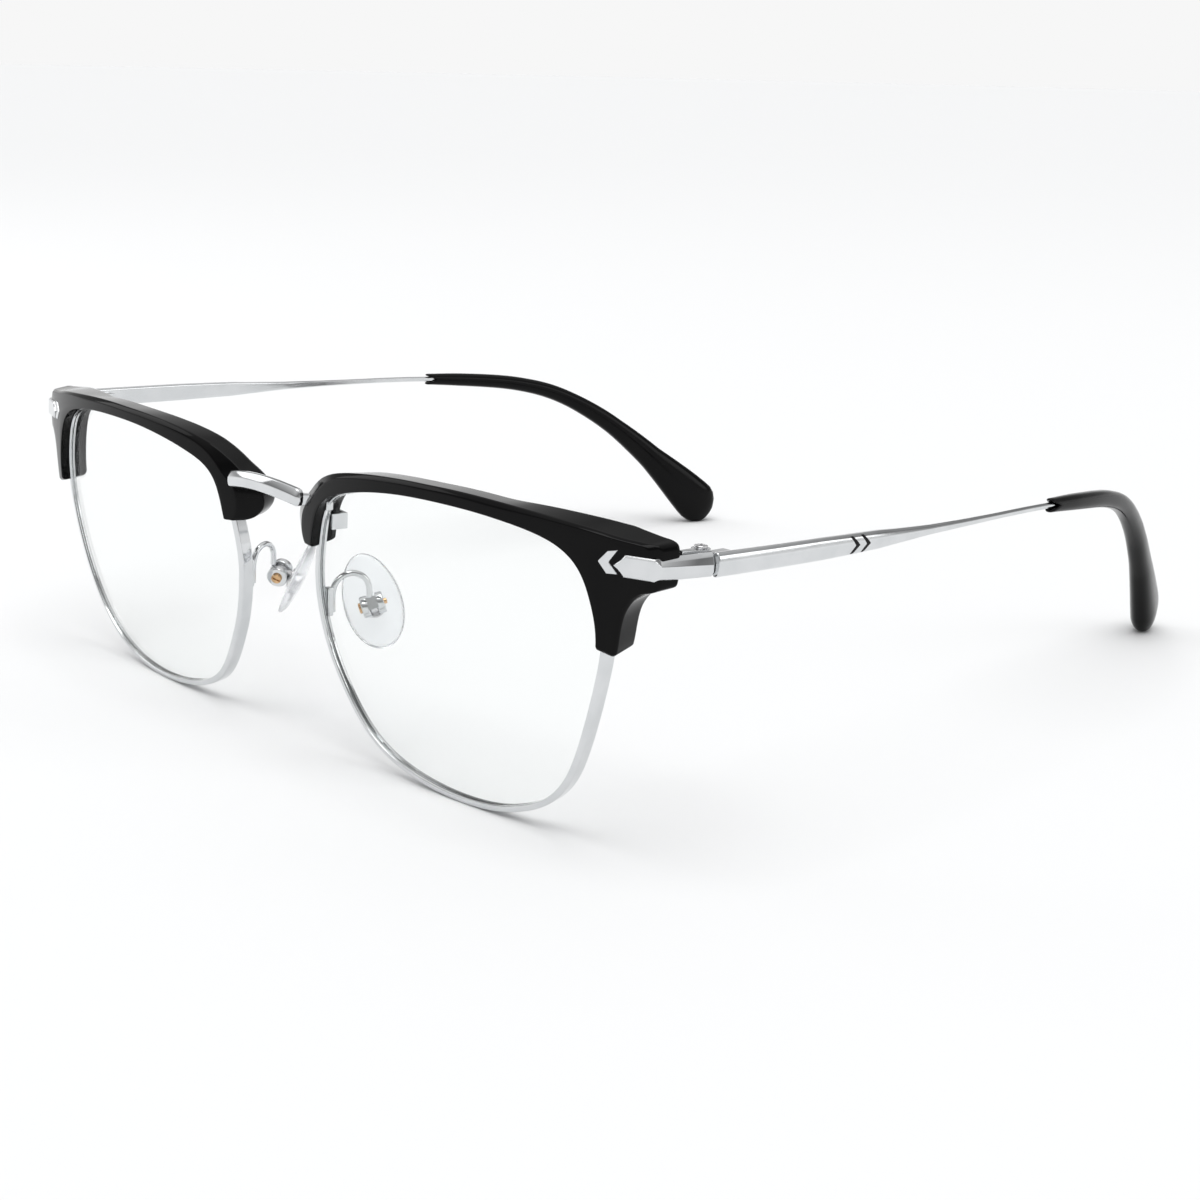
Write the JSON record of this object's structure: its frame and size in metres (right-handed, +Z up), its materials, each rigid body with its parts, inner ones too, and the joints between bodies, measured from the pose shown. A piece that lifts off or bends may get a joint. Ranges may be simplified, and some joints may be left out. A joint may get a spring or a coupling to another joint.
{
  "type": "browline eyeglasses",
  "caption": "Browline eyeglasses: closed thin metal rims with black acetate brow covers, metal bridge, clear nose pads on arms, and folding wire temples with black tips.",
  "frame": {"origin": "on the table under the middle of the frame's footprint, with the frame lying open on its rim bottoms and temple tips", "axes": "+X to the wearer's left, +Y backwards along the temples, +Z up"},
  "size_m": [0.1458, 0.1535, 0.0442],
  "materials": {
    "polished_titanium": "polished silver titanium",
    "black_acetate": "polished black cellulose acetate",
    "clear_lens": "clear, uncoated",
    "clear_silicone": "clear, smooth",
    "brass_screw": "bare brass",
    "steel_screw": "bare steel"
  },
  "bodies": {
    "front": {"bridge": "polished_titanium", "rim_left": "polished_titanium", "rim_right": "polished_titanium", "lens_left": "clear_lens", "lens_right": "clear_lens", "rim_lock_upper_left": "polished_titanium", "rim_lock_upper_right": "polished_titanium", "rim_lock_lower_left": "polished_titanium", "rim_lock_lower_right": "polished_titanium", "rim_lock_screw_left": "steel_screw", "rim_lock_screw_right": "steel_screw", "brow_left": "black_acetate", "brow_right": "black_acetate", "brow_tab_left": "polished_titanium", "brow_tab_right": "polished_titanium", "brow_screw_left": "steel_screw", "brow_screw_right": "steel_screw", "chevron_inlay_left": "polished_titanium", "chevron_inlay_right": "polished_titanium", "endpiece_left": "polished_titanium", "endpiece_right": "polished_titanium", "hinge_front_left": "polished_titanium", "hinge_front_right": "polished_titanium", "hinge_screw_left": "steel_screw", "hinge_screw_right": "steel_screw", "pad_arm_left": "polished_titanium", "pad_arm_right": "polished_titanium", "pad_screw_left": "brass_screw", "pad_screw_right": "brass_screw"},
    "temple_left": {"hinge_rear_left": "polished_titanium", "temple_left": "polished_titanium", "temple_tip_left": "black_acetate"},
    "temple_right": {"hinge_rear_right": "polished_titanium", "temple_right": "polished_titanium", "temple_tip_right": "black_acetate"},
    "nose_pad_left": {"pad_insert_left": "polished_titanium", "nose_pad_left": "clear_silicone"},
    "nose_pad_right": {"pad_insert_right": "polished_titanium", "nose_pad_right": "clear_silicone"}
  },
  "joints": [
    {"name": "temple_left_fold", "type": "hinge", "parent": "front", "child": "temple_left", "pos_m": [0.0688, -0.06114, 0.03836], "axis": [0, 0.049, 0.9988], "range_deg": [0, 84]},
    {"name": "temple_right_fold", "type": "hinge", "parent": "front", "child": "temple_right", "pos_m": [-0.0688, -0.06114, 0.03836], "axis": [0, -0.049, -0.9988], "range_deg": [0, 77]},
    {"name": "nose_pad_left_rock", "type": "hinge", "parent": "front", "child": "nose_pad_left", "pos_m": [0.01118, -0.06459, 0.02106], "axis": [0.5558, 0.78, 0.2877], "range_deg": [-8, 8]},
    {"name": "nose_pad_right_rock", "type": "hinge", "parent": "front", "child": "nose_pad_right", "pos_m": [-0.01118, -0.06459, 0.02106], "axis": [-0.5558, 0.78, 0.2877], "range_deg": [-8, 8]}
  ]
}
